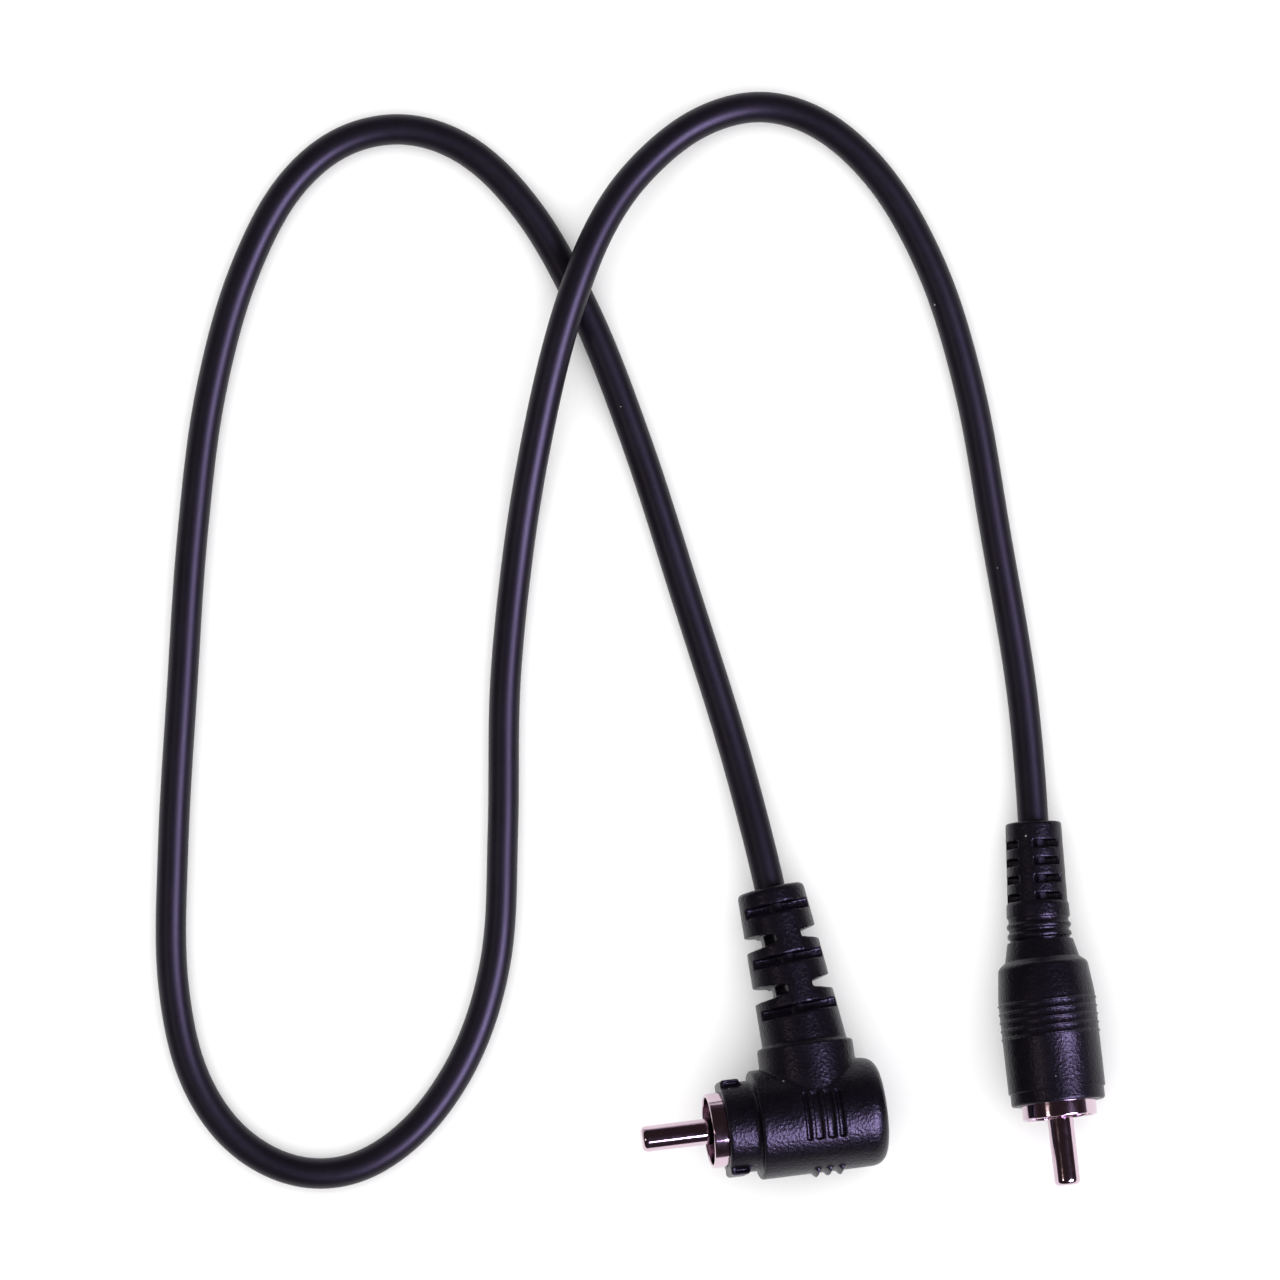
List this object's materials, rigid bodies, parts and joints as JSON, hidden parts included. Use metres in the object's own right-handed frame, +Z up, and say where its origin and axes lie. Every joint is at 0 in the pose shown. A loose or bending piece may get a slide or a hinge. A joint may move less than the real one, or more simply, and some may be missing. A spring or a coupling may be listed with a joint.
{
  "type": "phono lead",
  "caption": "Short moulded coaxial phono lead with a right-angle plug on one end, a straight plug on the other, and the cord lying in a loose loop.",
  "frame": {"origin": "on the plane that the lead lies on, under the middle of the box of the two plugs", "axes": "+Z up from the plane; +X from the right-angle plug to the straight plug; +Y the way that both boots point, with the straight plug's nose towards -Y and the right-angle plug's nose towards -X"},
  "size_m": [0.1173, 0.136, 0.0152],
  "materials": {
    "moulding": "fine spark-eroded grain, near-black soft PVC",
    "jacket": "smooth satin, near-black soft PVC",
    "nickel": "bright nickel plate on brass",
    "copper": "bare copper wire",
    "solder": "bright soft solder",
    "insulator": "semi-gloss black moulding",
    "natural": "natural polyethylene"
  },
  "bodies": {
    "root": {"angle_overmould": "moulding", "straight_overmould": "moulding", "cable_jacket": "jacket", "angle_inner_mould": "natural", "straight_inner_mould": "natural", "cable_dielectric": "natural", "angle_contact_shell": "nickel", "straight_contact_shell": "nickel", "angle_centre_pin": "nickel", "straight_centre_pin": "nickel", "angle_ground_tag": "nickel", "straight_ground_tag": "nickel", "angle_insulator": "insulator", "straight_insulator": "insulator", "angle_pin_solder": "solder", "straight_pin_solder": "solder", "angle_ground_solder": "solder", "straight_ground_solder": "solder", "angle_shield_tail": "copper", "straight_shield_tail": "copper", "cable_shield": "copper", "cable_conductor": "copper"}
  },
  "joints": []
}
